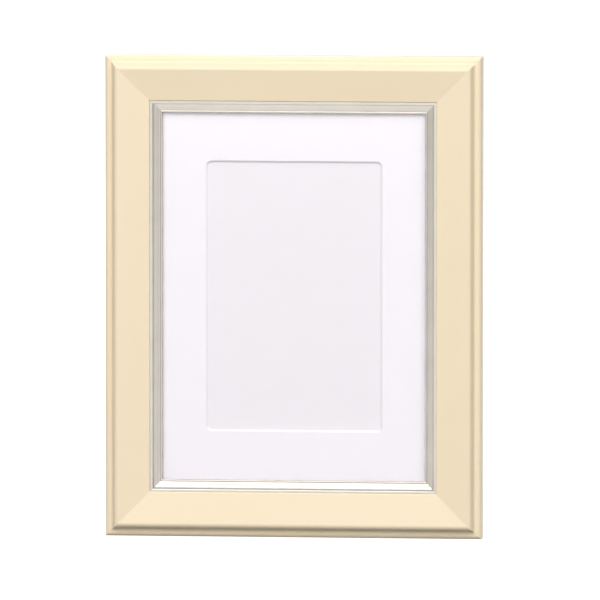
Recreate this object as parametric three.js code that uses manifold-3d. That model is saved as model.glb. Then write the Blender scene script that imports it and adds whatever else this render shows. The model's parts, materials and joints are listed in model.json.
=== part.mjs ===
// A postcard frame for a table or a wall. Four mitred lengths of cream moulding hold a silver slip, a sheet
// of glass, a mat with a bevelled window, a blank postcard and a fibreboard back. Turn buttons keep the back
// in, a hinged strut props the frame up, and two ring hangers hang it upright or on its side.
//
// Millimetres, +Z up, the picture facing -Y. The origin is on the underside of the bottom rail, at the
// middle of its length and of the moulding's depth. In a moulding's section, u runs from the outer edge
// towards the picture, and t from the back plane towards the front.
import * as THREE from "three";
import { mergeVertices } from "three/addons/utils/BufferGeometryUtils.js";
import Module from "manifold-3d";

const wasm = await Module();
wasm.setup();

const degrees = THREE.MathUtils.degToRad;

// Sizes of the moulding
const OUTER_WIDTH = 192;
const OUTER_HEIGHT = 245;
const MOULDING_DEPTH = 15;
const FACE_WIDTH = 23;
const FACE_SLOPE = degrees(9);
const LIP_WIDTH = 2.8;
const LIP_EDGE_RADIUS = 2.2;
const COVE_RADIUS = 1.6;
const COVE_START = degrees(8);
const RISER_SLOPE = degrees(70);
const RISER_LENGTH = 2.2;
const CREST_RADIUS = 2.2;
const INNER_EDGE_RADIUS = 0.7;
const RABBET_WIDTH = 5;
const MITRE_GAP = 0.12;

// Sizes of the corner nails that pull each mitre together
const NAIL_LEG = 6;
const NAIL_THICKNESS = 0.6;
const NAIL_HEIGHT = 9;

// Sizes of the silver slip between the moulding and the glass
const SLIP_WIDTH = 6;
const SLIP_FLANGE = 1.5;
const SLIP_RISE = 4;
const SIGHT_HEIGHT = 0.8;
const SLIP_BEAD_RADIUS = 0.8;
const SLIP_BEAD_HEIGHT = 2.1;
const SIGHT_BEAD_RADIUS = 0.55;
const SLIP_COVE_DEPTH = 0.12;
const SLIP_CLEARANCE = 0.3;

// Sizes of what the frame holds
const GLASS_THICKNESS = 1.5;
const MAT_THICKNESS = 1;
const MAT_LAP = 5;
const WINDOW_RADIUS = 3;
const CARD_WIDTH = 100;
const CARD_HEIGHT = 148;
const CARD_THICKNESS = 0.25;
const PANEL_THICKNESS = 4;
const RABBET_CLEARANCE = 0.5;

// Gap between pieces that lie on each other, and round a fastener in its hole
const SEAT_GAP = 0.15;

// Sizes of the turn buttons and of every wood screw
const BUTTON_THICKNESS = 0.9;
const BUTTON_HEAD_RADIUS = 4.8;
const BUTTON_TAIL_RADIUS = 3.4;
const BUTTON_LAP = 7.5;
const BUTTON_SPACING = 124;
const SCREW_HEAD_RADIUS = 2.9;
const SCREW_HEAD_HEIGHT = 1.7;
const SCREW_SHANK_RADIUS = 1.4;
const SCREW_LENGTH = 9;
const SCREW_POINT = 2.5;

// Sizes of the strut and its hinge
const HINGE_HEIGHT = 150;
const HINGE_WIDTH = 32;
const LEAF_LENGTH = 18;
const LEAF_THICKNESS = 0.8;
const KNUCKLE_RADIUS = 2;
const END_KNUCKLE = 8;
const KNUCKLE_GAP = 0.3;
const STOP_TAB_WIDTH = 7;
const PIN_RADIUS = 1;
const PIN_CLEARANCE = 0.15;
const STRUT_OPENING = degrees(26);
const STRUT_THICKNESS = 3;
const STRUT_MARGIN = 3;
const STRUT_FOOT_WIDTH = 62;
const STRUT_FOOT_HEIGHT = 3;
const STRUT_CORNER = 4;
const FOOT_ARCH_WIDTH = 22;
const FOOT_ARCH_HEIGHT = 5;
const RIVET_INSET = 7;
const RIVET_SHANK_RADIUS = 1.2;
const RIVET_HEAD_RADIUS = 2.4;
const RIVET_HEAD_HEIGHT = 0.8;
const RIVET_TAIL_RADIUS = 2;
const RIVET_TAIL_HEIGHT = 0.6;

// Sizes of the ring hangers
const RING_WIRE_RADIUS = 1;
const RING_LENGTH = 14;
const RING_CORNER = 2;
const RING_PLAY = 1;
const RING_CLEARANCE = 0.2;
const STRAP_WIDTH = 8;
const STRAP_THICKNESS = 0.8;
const STRAP_END = 5.5;
const STRAP_SCREW_GAP = 1.6;

// How far a cutter runs past the face it cuts
const OVERCUT = 1;

// Fineness of the curves
const ARC_STEPS = 8;
const ROUND_STEPS = 24;
const RING_STEPS = 48;
const WIRE_SIDES = 10;

// Places that follow from the sizes
const BACK = MOULDING_DEPTH / 2;
const MIDDLE_HEIGHT = OUTER_HEIGHT / 2;
const RABBET_EDGE = FACE_WIDTH - RABBET_WIDTH;
const BACK_MIDDLE = RABBET_EDGE / 2;
const PANEL_BACK = SEAT_GAP;
const CARD_BACK = PANEL_BACK + PANEL_THICKNESS + SEAT_GAP;
const MAT_BACK = CARD_BACK + CARD_THICKNESS + SEAT_GAP;
const GLASS_BACK = MAT_BACK + MAT_THICKNESS + SEAT_GAP;
const SLIP_BACK = GLASS_BACK + GLASS_THICKNESS + SEAT_GAP;
const RABBET_SHELF = SLIP_BACK + SLIP_FLANGE + SEAT_GAP;
const SHEET_WIDTH = OUTER_WIDTH - 2 * (RABBET_EDGE + RABBET_CLEARANCE);
const SHEET_HEIGHT = OUTER_HEIGHT - 2 * (RABBET_EDGE + RABBET_CLEARANCE);
const WINDOW_WIDTH = CARD_WIDTH - 2 * MAT_LAP;
const WINDOW_HEIGHT = CARD_HEIGHT - 2 * MAT_LAP;

// Finishes
const finish = (color, roughness, metalness = 0) =>
  new THREE.MeshStandardMaterial({ color, roughness, metalness });
const creamLacquer = finish("#efdfbe", 0.38);
const silverFoil = finish("#c9c6bd", 0.22, 1);
const clearGlass = new THREE.MeshStandardMaterial({
  color: "#eef4f2",
  roughness: 0.03,
  transparent: true,
  opacity: 0.15,
});
const matPaper = finish("#f7f4f8", 0.9);
const cardPaper = finish("#ece8ea", 0.8);
const fibreboard = finish("#6b4a32", 0.85);
const platedSteel = finish("#b9b7b0", 0.35, 1);
const brassedSteel = finish("#c2a25c", 0.35, 1);

// A closed geometry as a solid that can be joined and cut, and back again.
function solidOf(geometry) {
  const bare = new THREE.BufferGeometry();
  bare.setAttribute("position", geometry.getAttribute("position"));
  bare.setIndex(geometry.index);
  const merged = mergeVertices(bare, 1e-4);
  return new wasm.Manifold(
    new wasm.Mesh({
      numProp: 3,
      vertProperties: merged.getAttribute("position").array,
      triVerts: new Uint32Array(merged.index.array),
    }),
  );
}

function geometryOf(solid) {
  const { vertProperties, triVerts } = solid.getMesh();
  const geometry = new THREE.BufferGeometry();
  geometry.setAttribute("position", new THREE.BufferAttribute(vertProperties, 3));
  geometry.setIndex(new THREE.BufferAttribute(triVerts, 1));
  geometry.computeVertexNormals();
  return geometry;
}

// A box between two corners, and a round bar along X or Y from its middle.
function boxBetween(low, high) {
  const size = high.map((value, axis) => value - low[axis]);
  const middle = high.map((value, axis) => (value + low[axis]) / 2);
  return new THREE.BoxGeometry(...size).translate(...middle);
}

function barAlongX(radius, length) {
  return new THREE.CylinderGeometry(radius, radius, length, ROUND_STEPS).rotateZ(Math.PI / 2);
}

function barAlongY(radius, length) {
  return new THREE.CylinderGeometry(radius, radius, length, ROUND_STEPS);
}

function part(name, geometry, material) {
  const mesh = new THREE.Mesh(geometry, material);
  mesh.name = name;
  return mesh;
}

function groupOf(...children) {
  const group = new THREE.Group();
  group.add(...children);
  return group;
}

// A length of section cut at 45 degrees at both ends. It lies along X with its outer edge at Z = 0, so a
// point at u is that much shorter at each end.
function mitred(section, outerLength) {
  const geometry = new THREE.ExtrudeGeometry(section, {
    depth: 1,
    bevelEnabled: false,
    curveSegments: ARC_STEPS,
  });
  const points = geometry.getAttribute("position");
  for (let i = 0; i < points.count; i += 1) {
    const u = points.getX(i);
    const end = points.getZ(i) > 0 ? 1 : -1;
    const along = end * (outerLength / 2 - u - MITRE_GAP / 2);
    points.setXYZ(i, along, BACK - points.getY(i), u);
  }
  return geometry;
}

// The four sides, each with the length of its outer edge and the turn and place that bring it there.
const SIDES = {
  bottom: { length: OUTER_WIDTH, turn: 0, place: [0, 0, 0] },
  top: { length: OUTER_WIDTH, turn: Math.PI, place: [0, 0, OUTER_HEIGHT] },
  left: { length: OUTER_HEIGHT, turn: Math.PI / 2, place: [-OUTER_WIDTH / 2, 0, MIDDLE_HEIGHT] },
  right: { length: OUTER_HEIGHT, turn: -Math.PI / 2, place: [OUTER_WIDTH / 2, 0, MIDDLE_HEIGHT] },
};

function onSide(side, piece) {
  const group = groupOf(piece);
  group.rotation.y = SIDES[side].turn;
  group.position.set(...SIDES[side].place);
  return group;
}

// The moulding's section: a plain side, a rounded lip, a cove and a steep riser up to a round crest, a face
// that slopes down to the picture, and a rabbet cut behind its inner edge.
function mouldingSection() {
  const quarter = Math.PI / 2;
  const coveRise = COVE_RADIUS * (Math.cos(COVE_START) - Math.cos(RISER_SLOPE));
  const riserRise = RISER_LENGTH * Math.sin(RISER_SLOPE);
  const crestRise = CREST_RADIUS * (1 - Math.cos(RISER_SLOPE));
  const lip = MOULDING_DEPTH - coveRise - riserRise - crestRise;
  const coveU = LIP_WIDTH - COVE_RADIUS * Math.sin(COVE_START);
  const coveT = lip + COVE_RADIUS * Math.cos(COVE_START);
  const riserU = coveU + COVE_RADIUS * Math.sin(RISER_SLOPE);
  const riserEndU = riserU + RISER_LENGTH * Math.cos(RISER_SLOPE);
  const crestU = riserEndU + CREST_RADIUS * Math.sin(RISER_SLOPE);
  const crestT = MOULDING_DEPTH - CREST_RADIUS;
  const faceStartU = crestU + CREST_RADIUS * Math.sin(FACE_SLOPE);
  const faceStartT = crestT + CREST_RADIUS * Math.cos(FACE_SLOPE);
  const edgeU = FACE_WIDTH - INNER_EDGE_RADIUS;
  const faceEndU = edgeU + INNER_EDGE_RADIUS * Math.sin(FACE_SLOPE);
  const faceEndT = faceStartT - (faceEndU - faceStartU) * Math.tan(FACE_SLOPE);
  const edgeT = faceEndT - INNER_EDGE_RADIUS * Math.cos(FACE_SLOPE);
  const section = new THREE.Shape();
  section.moveTo(0, 0);
  section.lineTo(0, lip - LIP_EDGE_RADIUS);
  section.absarc(LIP_EDGE_RADIUS, lip - LIP_EDGE_RADIUS, LIP_EDGE_RADIUS, Math.PI, quarter, true);
  section.absarc(coveU, coveT, COVE_RADIUS, COVE_START - quarter, RISER_SLOPE - quarter, false);
  section.absarc(crestU, crestT, CREST_RADIUS, quarter + RISER_SLOPE, quarter - FACE_SLOPE, true);
  section.absarc(edgeU, edgeT, INNER_EDGE_RADIUS, quarter - FACE_SLOPE, 0, true);
  section.lineTo(FACE_WIDTH, RABBET_SHELF);
  section.lineTo(RABBET_EDGE, RABBET_SHELF);
  section.lineTo(RABBET_EDGE, 0);
  return section;
}

// One rail, with the slots of its two corner nails and the pilot holes of its screws.
function rail(side, screwPlaces) {
  const { length } = SIDES[side];
  let solid = solidOf(mitred(mouldingSection(), length));
  const half = NAIL_THICKNESS / 2 + SEAT_GAP;
  for (const end of [-1, 1]) {
    const outer = end * (length / 2 - BACK_MIDDLE + half + OVERCUT);
    const inner = end * (length / 2 - BACK_MIDDLE - NAIL_LEG - SEAT_GAP);
    const slot = boxBetween(
      [Math.min(outer, inner), BACK - NAIL_HEIGHT - SEAT_GAP, BACK_MIDDLE - half],
      [Math.max(outer, inner), BACK + OVERCUT, BACK_MIDDLE + half],
    );
    solid = solid.subtract(solidOf(slot));
  }
  const holeDepth = SCREW_LENGTH + SEAT_GAP;
  for (const along of screwPlaces) {
    const hole = barAlongY(SCREW_SHANK_RADIUS + SEAT_GAP, 2 * holeDepth);
    solid = solid.subtract(solidOf(hole.translate(along, BACK, BACK_MIDDLE)));
  }
  return onSide(side, part(`rail_${side}`, geometryOf(solid), creamLacquer));
}

// A V of steel strip driven into the back of a mitre, with one leg in each rail.
function cornerNail(name, quarterTurns, x, z) {
  const half = NAIL_THICKNESS / 2;
  const outline = new THREE.Shape();
  outline.moveTo(-half, -half);
  outline.lineTo(NAIL_LEG, -half);
  outline.lineTo(NAIL_LEG, half);
  outline.lineTo(half, half);
  outline.lineTo(half, NAIL_LEG);
  outline.lineTo(-half, NAIL_LEG);
  const strip = new THREE.ExtrudeGeometry(outline, { depth: NAIL_HEIGHT - SEAT_GAP, bevelEnabled: false });
  const mesh = part(`corner_nail_${name}`, strip.rotateX(Math.PI / 2), platedSteel);
  mesh.rotation.y = (quarterTurns * Math.PI) / 2;
  mesh.position.set(x, BACK - SEAT_GAP, z);
  return mesh;
}

function cornerNails() {
  const x = OUTER_WIDTH / 2 - BACK_MIDDLE;
  const top = OUTER_HEIGHT - BACK_MIDDLE;
  return groupOf(
    cornerNail("bottom_left", 0, -x, BACK_MIDDLE),
    cornerNail("top_left", 1, -x, top),
    cornerNail("top_right", 2, x, top),
    cornerNail("bottom_right", 3, x, BACK_MIDDLE),
  );
}

// The slip's section: a flange held behind the moulding's inner edge, and a silver face of two small coves
// between a tall outer bead and a fine bead at the sight edge. A cove is half as deep as its control point.
function slipSection() {
  const heel = RABBET_EDGE + SLIP_CLEARANCE;
  const wall = FACE_WIDTH + SLIP_CLEARANCE;
  const sight = FACE_WIDTH + SLIP_WIDTH;
  const outerCrown = SLIP_BACK + SLIP_RISE;
  const sightCrown = SLIP_BACK + SIGHT_HEIGHT;
  const outerBead = new THREE.Vector2(wall + SLIP_BEAD_RADIUS, outerCrown - SLIP_BEAD_RADIUS);
  const sightBead = new THREE.Vector2(sight - SIGHT_BEAD_RADIUS, sightCrown - SIGHT_BEAD_RADIUS);
  const coveFoot = new THREE.Vector2(sightBead.x - SIGHT_BEAD_RADIUS, sightBead.y);
  const coveHead = new THREE.Vector2(outerBead.x + SLIP_BEAD_RADIUS, outerCrown - SLIP_BEAD_HEIGHT);
  const arris = coveFoot.clone().lerp(coveHead, 0.5);
  const rise = coveHead.clone().sub(coveFoot).normalize();
  const inwards = new THREE.Vector2(-rise.y, rise.x).multiplyScalar(2 * SLIP_COVE_DEPTH);
  const lowHollow = coveFoot.clone().lerp(arris, 0.5).add(inwards);
  const highHollow = arris.clone().lerp(coveHead, 0.5).add(inwards);
  const section = new THREE.Shape();
  section.moveTo(heel, SLIP_BACK);
  section.lineTo(sight, SLIP_BACK);
  section.absarc(sightBead.x, sightBead.y, SIGHT_BEAD_RADIUS, 0, Math.PI, false);
  section.quadraticCurveTo(lowHollow.x, lowHollow.y, arris.x, arris.y);
  section.quadraticCurveTo(highHollow.x, highHollow.y, coveHead.x, coveHead.y);
  section.absarc(outerBead.x, outerBead.y, SLIP_BEAD_RADIUS, 0, Math.PI / 2, false);
  section.lineTo(wall, outerCrown);
  section.lineTo(wall, SLIP_BACK + SLIP_FLANGE);
  section.lineTo(heel, SLIP_BACK + SLIP_FLANGE);
  return section;
}

function slip(side) {
  const geometry = mitred(slipSection(), SIDES[side].length);
  return onSide(side, part(`slip_${side}`, geometry, silverFoil));
}

// A flat sheet centred in the frame, with its back at t.
function sheet(width, height, thickness, t) {
  const middle = BACK - t - thickness / 2;
  return new THREE.BoxGeometry(width, thickness, height).translate(0, middle, MIDDLE_HEIGHT);
}

function roundedRectangle(width, height, radius) {
  const x = width / 2 - radius;
  const y = height / 2 - radius;
  const outline = new THREE.Shape();
  outline.absarc(x, y, radius, 0, Math.PI / 2, false);
  outline.absarc(-x, y, radius, Math.PI / 2, Math.PI, false);
  outline.absarc(-x, -y, radius, Math.PI, 1.5 * Math.PI, false);
  outline.absarc(x, -y, radius, 1.5 * Math.PI, 2 * Math.PI, false);
  return outline;
}

// The mat: a sheet of board whose window is cut at 45 degrees, widest at the front.
function matBoard() {
  const window = roundedRectangle(WINDOW_WIDTH, WINDOW_HEIGHT, WINDOW_RADIUS);
  const cut = new THREE.ExtrudeGeometry(window, { depth: 1, bevelEnabled: false, curveSegments: ARC_STEPS });
  const past = SEAT_GAP;
  const cornerX = WINDOW_WIDTH / 2 - WINDOW_RADIUS;
  const cornerZ = WINDOW_HEIGHT / 2 - WINDOW_RADIUS;
  const points = cut.getAttribute("position");
  for (let i = 0; i < points.count; i += 1) {
    const front = points.getZ(i) > 0;
    const t = front ? MAT_BACK + MAT_THICKNESS + past : MAT_BACK - past;
    const radius = WINDOW_RADIUS + t - MAT_BACK - MAT_THICKNESS;
    const centreX = Math.sign(points.getX(i)) * cornerX;
    const centreZ = Math.sign(points.getY(i)) * cornerZ;
    const x = centreX + ((points.getX(i) - centreX) * radius) / WINDOW_RADIUS;
    const z = centreZ + ((points.getY(i) - centreZ) * radius) / WINDOW_RADIUS;
    points.setXYZ(i, x, BACK - t, MIDDLE_HEIGHT + z);
  }
  const board = solidOf(sheet(SHEET_WIDTH, SHEET_HEIGHT, MAT_THICKNESS, MAT_BACK));
  return geometryOf(board.subtract(solidOf(cut)));
}

// A body of revolution about Y from a half section of radius and height, lowest point first.
function turned(outline) {
  return new THREE.LatheGeometry(outline.map(([radius, y]) => new THREE.Vector2(radius, y)), ROUND_STEPS);
}

// The half section of a low dome on the plane Y = 0, from its rim up to its middle.
function domeOutline(radius, height) {
  const outline = [];
  for (let i = 0; i < ARC_STEPS; i += 1) {
    const angle = ((i / ARC_STEPS) * Math.PI) / 2;
    outline.push([radius * Math.cos(angle), height * Math.sin(angle)]);
  }
  outline.push([0, height]);
  return outline;
}

// A pan-head wood screw with the underside of its head at Y = 0 and its point towards -Y.
function woodScrew(length) {
  return turned([
    [0, -length],
    [SCREW_SHANK_RADIUS, SCREW_POINT - length],
    [SCREW_SHANK_RADIUS, 0],
    ...domeOutline(SCREW_HEAD_RADIUS, SCREW_HEAD_HEIGHT),
  ]);
}

// A rivet with the underside of its head at Y = 0, holding a thickness of grip above its flattened tail.
function rivet(grip) {
  return turned([
    [0, -grip - RIVET_TAIL_HEIGHT],
    [RIVET_TAIL_RADIUS, -grip - RIVET_TAIL_HEIGHT],
    [RIVET_TAIL_RADIUS, -grip],
    [RIVET_SHANK_RADIUS, -grip],
    [RIVET_SHANK_RADIUS, 0],
    ...domeOutline(RIVET_HEAD_RADIUS, RIVET_HEAD_HEIGHT),
  ]);
}

// What the rivets hold: a leaf on a board that is sunk on its front for the tails.
const KNUCKLE_CLEAR = KNUCKLE_RADIUS + 2 * KNUCKLE_GAP;
const RIVET_DROP = (KNUCKLE_CLEAR + LEAF_LENGTH) / 2;
const RIVET_SIDES = { left: RIVET_INSET - HINGE_WIDTH / 2, right: HINGE_WIDTH / 2 - RIVET_INSET };
const RIVET_SINK = RIVET_TAIL_HEIGHT + 2 * SEAT_GAP;
const boardGrip = (thickness) => LEAF_THICKNESS + thickness - RIVET_SINK + 3 * SEAT_GAP;

// A board with its two rivet holes, given where its back face and the holes are.
function drilledForRivets(board, thickness, back, z) {
  let solid = board;
  for (const x of Object.values(RIVET_SIDES)) {
    const through = barAlongY(RIVET_SHANK_RADIUS + SEAT_GAP, thickness + 2 * OVERCUT);
    const sink = barAlongY(RIVET_TAIL_RADIUS + SEAT_GAP, 2 * RIVET_SINK);
    solid = solid.subtract(solidOf(through.translate(x, back - thickness / 2, z)));
    solid = solid.subtract(solidOf(sink.translate(x, back - thickness, z)));
  }
  return geometryOf(solid);
}

function backPanel() {
  const board = solidOf(sheet(SHEET_WIDTH, SHEET_HEIGHT, PANEL_THICKNESS, PANEL_BACK));
  return drilledForRivets(board, PANEL_THICKNESS, BACK - PANEL_BACK, HINGE_HEIGHT + RIVET_DROP);
}

// A turn button: a flat steel pear that swings on a screw at its round end. Its tail points along +X.
function turnButton() {
  const reach = RABBET_EDGE - BACK_MIDDLE + RABBET_CLEARANCE + BUTTON_LAP - BUTTON_TAIL_RADIUS;
  const taper = Math.acos((BUTTON_HEAD_RADIUS - BUTTON_TAIL_RADIUS) / reach);
  const outline = new THREE.Shape();
  outline.absarc(0, 0, BUTTON_HEAD_RADIUS, taper, 2 * Math.PI - taper, false);
  outline.absarc(reach, 0, BUTTON_TAIL_RADIUS, -taper, taper, false);
  outline.holes.push(new THREE.Path().absarc(0, 0, SCREW_SHANK_RADIUS + SEAT_GAP, 0, 2 * Math.PI, true));
  const plate = new THREE.ExtrudeGeometry(outline, {
    depth: BUTTON_THICKNESS,
    bevelEnabled: false,
    curveSegments: ROUND_STEPS,
  });
  return plate.rotateX(-Math.PI / 2);
}

const BUTTON_HEIGHTS = { upper: BUTTON_SPACING / 2, lower: -BUTTON_SPACING / 2 };

// The two turn buttons of one side rail, each with its screw.
function turnButtons(side) {
  const outward = side === "left" ? -1 : 1;
  const x = outward * (OUTER_WIDTH / 2 - BACK_MIDDLE);
  const headSeat = BUTTON_THICKNESS + 2 * SEAT_GAP;
  const pieces = [];
  for (const [height, offset] of Object.entries(BUTTON_HEIGHTS)) {
    const z = MIDDLE_HEIGHT + offset;
    const button = part(`turn_button_${side}_${height}`, turnButton(), brassedSteel);
    button.rotation.y = outward < 0 ? 0 : Math.PI;
    button.position.set(x, BACK + SEAT_GAP, z);
    const screw = part(`turn_screw_${side}_${height}`, woodScrew(SCREW_LENGTH + headSeat), platedSteel);
    screw.position.set(x, BACK + headSeat, z);
    pieces.push(button, screw);
  }
  return groupOf(...pieces);
}

// The two leaves and the pin of the strut's hinge, about the hinge axis. The fixed leaf rises from the axis
// against the panel. The strut's leaf hangs from it, and its tab meets the fixed leaf when the strut is
// open.
const LEAF_INNER = KNUCKLE_RADIUS - LEAF_THICKNESS;
const MIDDLE_KNUCKLE = HINGE_WIDTH - 2 * (END_KNUCKLE + KNUCKLE_GAP);

function drilledLeaf(leaf, z) {
  let solid = leaf.subtract(solidOf(barAlongX(PIN_RADIUS + PIN_CLEARANCE, HINGE_WIDTH + 2 * OVERCUT)));
  for (const x of Object.values(RIVET_SIDES)) {
    const hole = barAlongY(RIVET_SHANK_RADIUS + SEAT_GAP, 2 * (KNUCKLE_RADIUS + OVERCUT));
    solid = solid.subtract(solidOf(hole.translate(x, 0, z)));
  }
  return geometryOf(solid);
}

function fixedLeaf() {
  const half = HINGE_WIDTH / 2;
  let leaf = solidOf(boxBetween([-half, -KNUCKLE_RADIUS, KNUCKLE_CLEAR], [half, -LEAF_INNER, LEAF_LENGTH]));
  for (const side of [-1, 1]) {
    const middle = side * (half - END_KNUCKLE / 2);
    const low = [middle - END_KNUCKLE / 2, -KNUCKLE_RADIUS, 0];
    const high = [middle + END_KNUCKLE / 2, -LEAF_INNER, KNUCKLE_CLEAR + LEAF_THICKNESS];
    leaf = leaf.add(solidOf(boxBetween(low, high)));
    leaf = leaf.add(solidOf(barAlongX(KNUCKLE_RADIUS, END_KNUCKLE).translate(middle, 0, 0)));
  }
  return drilledLeaf(leaf, RIVET_DROP);
}

function strutLeaf() {
  const half = HINGE_WIDTH / 2;
  const halfKnuckle = MIDDLE_KNUCKLE / 2;
  const halfTab = STOP_TAB_WIDTH / 2;
  const tabEnd = LEAF_INNER / Math.tan(STRUT_OPENING / 2) - SEAT_GAP;
  const plate = boxBetween([-half, LEAF_INNER, -LEAF_LENGTH], [half, KNUCKLE_RADIUS, -KNUCKLE_CLEAR]);
  const neckFoot = -KNUCKLE_CLEAR - LEAF_THICKNESS;
  const neck = boxBetween([-halfKnuckle, LEAF_INNER, neckFoot], [halfKnuckle, KNUCKLE_RADIUS, 0]);
  const tab = boxBetween([-halfTab, LEAF_INNER, -LEAF_THICKNESS], [halfTab, KNUCKLE_RADIUS, tabEnd]);
  const leaf = solidOf(plate).add(solidOf(neck)).add(solidOf(tab));
  return drilledLeaf(leaf.add(solidOf(barAlongX(KNUCKLE_RADIUS, MIDDLE_KNUCKLE))), -RIVET_DROP);
}

// The strut: a tapered board with rounded corners and an arch between its two feet, about the hinge axis.
function strutBoard() {
  const back = LEAF_INNER - SEAT_GAP;
  const top = -KNUCKLE_CLEAR;
  const foot = STRUT_FOOT_HEIGHT - HINGE_HEIGHT;
  const topHalf = HINGE_WIDTH / 2 + STRUT_MARGIN;
  const footHalf = STRUT_FOOT_WIDTH / 2;
  const archHalf = FOOT_ARCH_WIDTH / 2;
  const outline = new THREE.Shape();
  outline.moveTo(-topHalf + STRUT_CORNER, top);
  outline.quadraticCurveTo(-topHalf, top, -topHalf, top - STRUT_CORNER);
  outline.lineTo(-footHalf, foot);
  outline.lineTo(-archHalf, foot);
  outline.absellipse(0, foot, archHalf, FOOT_ARCH_HEIGHT, Math.PI, 0, true);
  outline.lineTo(footHalf, foot);
  outline.lineTo(topHalf, top - STRUT_CORNER);
  outline.quadraticCurveTo(topHalf, top, topHalf - STRUT_CORNER, top);
  const board = new THREE.ExtrudeGeometry(outline, {
    depth: STRUT_THICKNESS,
    bevelEnabled: false,
    curveSegments: ROUND_STEPS,
  });
  const solid = solidOf(board.rotateX(Math.PI / 2).translate(0, back, 0));
  return drilledForRivets(solid, STRUT_THICKNESS, back, -RIVET_DROP);
}

function strutAndHinge() {
  const hinge = groupOf(
    part("hinge_leaf_fixed", fixedLeaf(), platedSteel),
    part("hinge_leaf_strut", strutLeaf(), platedSteel),
    part("hinge_pin", barAlongX(PIN_RADIUS, HINGE_WIDTH), platedSteel),
    part("strut", strutBoard(), fibreboard),
  );
  for (const [side, x] of Object.entries(RIVET_SIDES)) {
    const panelRivet = part(`rivet_panel_${side}`, rivet(boardGrip(PANEL_THICKNESS)), platedSteel);
    panelRivet.position.set(x, SEAT_GAP - LEAF_INNER, RIVET_DROP);
    const strutRivet = part(`rivet_strut_${side}`, rivet(boardGrip(STRUT_THICKNESS)), platedSteel);
    strutRivet.position.set(x, KNUCKLE_RADIUS + SEAT_GAP, -RIVET_DROP);
    hinge.add(panelRivet, strutRivet);
  }
  hinge.position.set(0, BACK - PANEL_BACK + SEAT_GAP + KNUCKLE_RADIUS, HINGE_HEIGHT);
  return hinge;
}

// A ring hanger about the ring's straight bar: a strap looped round the bar and screwed to the rail above,
// and a wire ring in the shape of a D that hangs from the strap.
const LOOP_BORE = RING_WIRE_RADIUS + RING_CLEARANCE;
const LOOP_RADIUS = LOOP_BORE + STRAP_THICKNESS;
const STRAP_SCREW = LOOP_RADIUS + STRAP_SCREW_GAP + SCREW_HEAD_RADIUS;

function hangerStrap() {
  const half = STRAP_WIDTH / 2;
  const endMiddle = STRAP_SCREW + STRAP_END - half;
  const plate = boxBetween([-half, -LOOP_RADIUS, 0], [half, -LOOP_BORE, endMiddle]);
  const end = barAlongY(half, STRAP_THICKNESS).translate(0, -LOOP_BORE - STRAP_THICKNESS / 2, endMiddle);
  const loop = barAlongX(LOOP_RADIUS, STRAP_WIDTH);
  const bore = barAlongX(LOOP_BORE, STRAP_WIDTH + 2 * OVERCUT);
  const hole = barAlongY(SCREW_SHANK_RADIUS + SEAT_GAP, 2 * (LOOP_RADIUS + OVERCUT));
  const body = solidOf(plate).add(solidOf(end)).add(solidOf(loop)).subtract(solidOf(bore));
  return geometryOf(body.subtract(solidOf(hole.translate(0, 0, STRAP_SCREW))));
}

function hangerRing() {
  const side = STRAP_WIDTH / 2 + RING_PLAY + RING_CORNER;
  const bow = RING_LENGTH - side;
  const outline = new THREE.Path();
  outline.moveTo(-side + RING_CORNER, 0);
  outline.lineTo(side - RING_CORNER, 0);
  outline.absarc(side - RING_CORNER, -RING_CORNER, RING_CORNER, Math.PI / 2, 0, true);
  outline.lineTo(side, -bow);
  outline.absarc(0, -bow, side, 0, -Math.PI, true);
  outline.lineTo(-side, -RING_CORNER);
  outline.absarc(RING_CORNER - side, -RING_CORNER, RING_CORNER, Math.PI, Math.PI / 2, true);
  const points = outline.getSpacedPoints(RING_STEPS).slice(0, RING_STEPS);
  const path = new THREE.CatmullRomCurve3(points.map(({ x, y }) => new THREE.Vector3(x, 0, y)), true);
  return new THREE.TubeGeometry(path, RING_STEPS, RING_WIRE_RADIUS, WIRE_SIDES, true);
}

// Where a hanger's bar lies, in u, when its screw goes into the middle of the moulding's back.
const HANGER_BAR = BACK_MIDDLE + STRAP_SCREW;

function hanger(name, turn, x, z) {
  const barHeight = LOOP_RADIUS + SEAT_GAP;
  const headSeat = STRAP_THICKNESS + 2 * SEAT_GAP;
  const screw = part(`hanger_screw_${name}`, woodScrew(SCREW_LENGTH + headSeat), platedSteel);
  screw.position.set(0, headSeat - barHeight, STRAP_SCREW);
  const group = groupOf(
    part(`hanger_strap_${name}`, hangerStrap(), platedSteel),
    part(`hanger_ring_${name}`, hangerRing(), platedSteel),
    screw,
  );
  group.rotation.y = turn;
  group.position.set(x, BACK + barHeight, z);
  return group;
}

// The whole frame
const buttonScrews = Object.values(BUTTON_HEIGHTS);
const hangerScrew = 0;

export default groupOf(
  rail("top", [hangerScrew]),
  rail("bottom", []),
  rail("left", buttonScrews),
  rail("right", [...buttonScrews, hangerScrew]),
  cornerNails(),
  ...Object.keys(SIDES).map(slip),
  part("glazing", sheet(SHEET_WIDTH, SHEET_HEIGHT, GLASS_THICKNESS, GLASS_BACK), clearGlass),
  part("mat_board", matBoard(), matPaper),
  part("postcard_blank", sheet(CARD_WIDTH, CARD_HEIGHT, CARD_THICKNESS, CARD_BACK), cardPaper),
  part("back_panel", backPanel(), fibreboard),
  turnButtons("left"),
  turnButtons("right"),
  strutAndHinge(),
  hanger("top", 0, 0, OUTER_HEIGHT - HANGER_BAR),
  hanger("side", Math.PI / 2, OUTER_WIDTH / 2 - HANGER_BAR, MIDDLE_HEIGHT),
);
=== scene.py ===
import json
import math

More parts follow.
